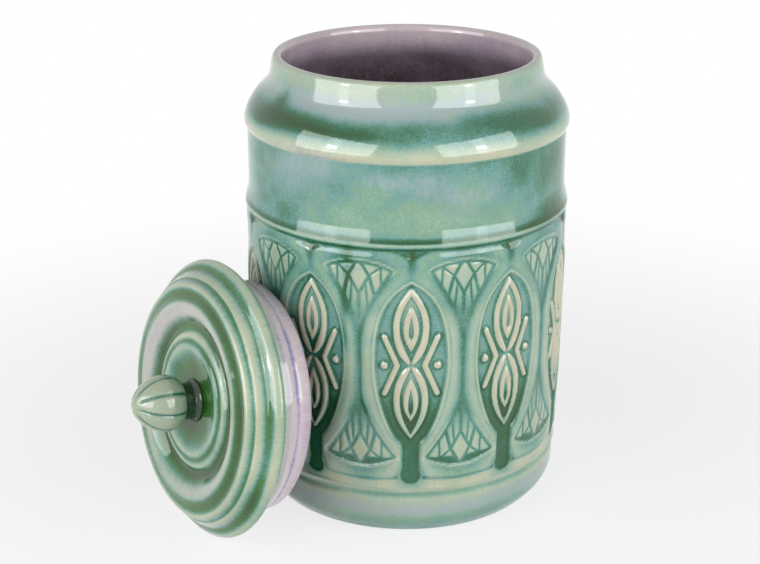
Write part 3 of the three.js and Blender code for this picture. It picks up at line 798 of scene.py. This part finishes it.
# What the glossy glaze also mirrors of each softbox: the strip lamp in it and the lamp's middle, each
# a little nearer than the last, so that none hides another
GLINTS = [((0.14, 0.58), 1.3), ((0.1, 0.1), 14.0)]
FLOOR_SIZE = 4.0
FLOOR_COLOUR = "#f2f2f2"
FLOOR_CLEAR = 0.78
FLOOR_FADE = (0.12, 0.5)
FILL = 0.04


def softbox(name, bearing, rise, distance, size, radiance):
    """A rectangular light that faces the jar from a compass bearing and an angle above the floor."""
    light = bpy.data.lights.new(name, "AREA")
    light.shape = "RECTANGLE"
    light.size, light.size_y = size
    light.energy = radiance * math.pi * size[0] * size[1]
    lamp = bpy.data.objects.new(name, light)
    bearing, rise = math.radians(bearing), math.radians(rise)
    lamp.location = LIGHT_TARGET + distance * Vector((
        math.cos(rise) * math.cos(bearing), math.cos(rise) * math.sin(bearing), math.sin(rise)))
    lamp.rotation_euler = (lamp.location - LIGHT_TARGET).to_track_quat("Z", "Y").to_euler()
    bpy.context.scene.collection.objects.link(lamp)
    return lamp


for side, bearing in (("left", CAMERA_BEARING - LIGHT_SIDE), ("right", CAMERA_BEARING + LIGHT_SIDE)):
    softbox("softbox " + side, bearing, LIGHT_RISE, LIGHT_DISTANCE, SOFTBOX, SOFTBOX_RADIANCE)
    for layer, (size, radiance) in enumerate(GLINTS, 1):
        distance = LIGHT_DISTANCE - layer * LAYER_GAP
        glint = softbox("glint " + side, bearing, LIGHT_RISE, distance, size, radiance)
        glint.visible_diffuse = False

floor_mesh = bpy.data.meshes.new("floor")
half = FLOOR_SIZE / 2
floor_mesh.from_pydata([(-half, -half, 0), (half, -half, 0), (half, half, 0), (-half, half, 0)], [],
                       [(0, 1, 2, 3)])
floor = bpy.data.objects.new("floor", floor_mesh)
bpy.context.scene.collection.objects.link(floor)

# Matt paper scatters the light evenly. Where it is seen or mirrored it is mostly clear near the
# jar, so that it keeps a soft shadow, and fades out into the white farther off
paper = bpy.data.materials.new("matt white paper")
paper.use_nodes = True
paper_tree = paper.node_tree
paper_tree.nodes.clear()
floor_place = add_node(paper_tree, "ShaderNodeTexCoord").outputs["Object"]
from_jar = add_node(paper_tree, "ShaderNodeVectorMath", {0: floor_place}, operation="LENGTH").outputs["Value"]
faded = add_node(paper_tree, "ShaderNodeMapRange", {
    "Value": from_jar, "From Min": FLOOR_FADE[0], "From Max": FLOOR_FADE[1], "To Min": FLOOR_CLEAR},
    interpolation_type="SMOOTHSTEP")
floor_rays = add_node(paper_tree, "ShaderNodeLightPath").outputs
floor_seen = add_node(paper_tree, "ShaderNodeMath", {
    0: floor_rays["Is Camera Ray"], 1: floor_rays["Is Glossy Ray"]}, operation="ADD", use_clamp=True)
faded = add_node(paper_tree, "ShaderNodeMath", {0: faded, 1: floor_seen}, operation="MULTIPLY")
matt = add_node(paper_tree, "ShaderNodeBsdfDiffuse", {"Color": linear(FLOOR_COLOUR)})
clear = add_node(paper_tree, "ShaderNodeBsdfTransparent")
paper_shader = add_node(paper_tree, "ShaderNodeMixShader", {0: faded, 1: matt, 2: clear})
add_node(paper_tree, "ShaderNodeOutputMaterial", {0: paper_shader})
floor_mesh.materials.append(paper)

# The surround is white where it is seen or mirrored, and lights the pieces only faintly
world = bpy.data.worlds.new("white surround")
world.use_nodes = True
world_tree = world.node_tree
world_tree.nodes.clear()
rays = add_node(world_tree, "ShaderNodeLightPath").outputs
seen = add_node(world_tree, "ShaderNodeMath", {0: rays["Is Camera Ray"], 1: rays["Is Glossy Ray"]},
                operation="ADD")
seen = add_node(world_tree, "ShaderNodeMath", {0: seen, 1: rays["Is Transmission Ray"]},
                operation="ADD", use_clamp=True)
strength = add_node(world_tree, "ShaderNodeMapRange", {"Value": seen, "To Min": FILL, "To Max": 1.0})
surround = add_node(world_tree, "ShaderNodeBackground", {"Color": (1, 1, 1, 1), "Strength": strength})
add_node(world_tree, "ShaderNodeOutputWorld", {0: surround})
bpy.context.scene.world = world
bpy.context.scene.view_settings.view_transform = "Standard"

camera_data = bpy.data.cameras.new("camera")
camera_data.lens = CAMERA_LENS
camera = bpy.data.objects.new("camera", camera_data)
camera.location = CAMERA_PLACE
camera.rotation_euler = [math.radians(turn) for turn in CAMERA_TURN]
bpy.context.scene.collection.objects.link(camera)
bpy.context.scene.camera = camera
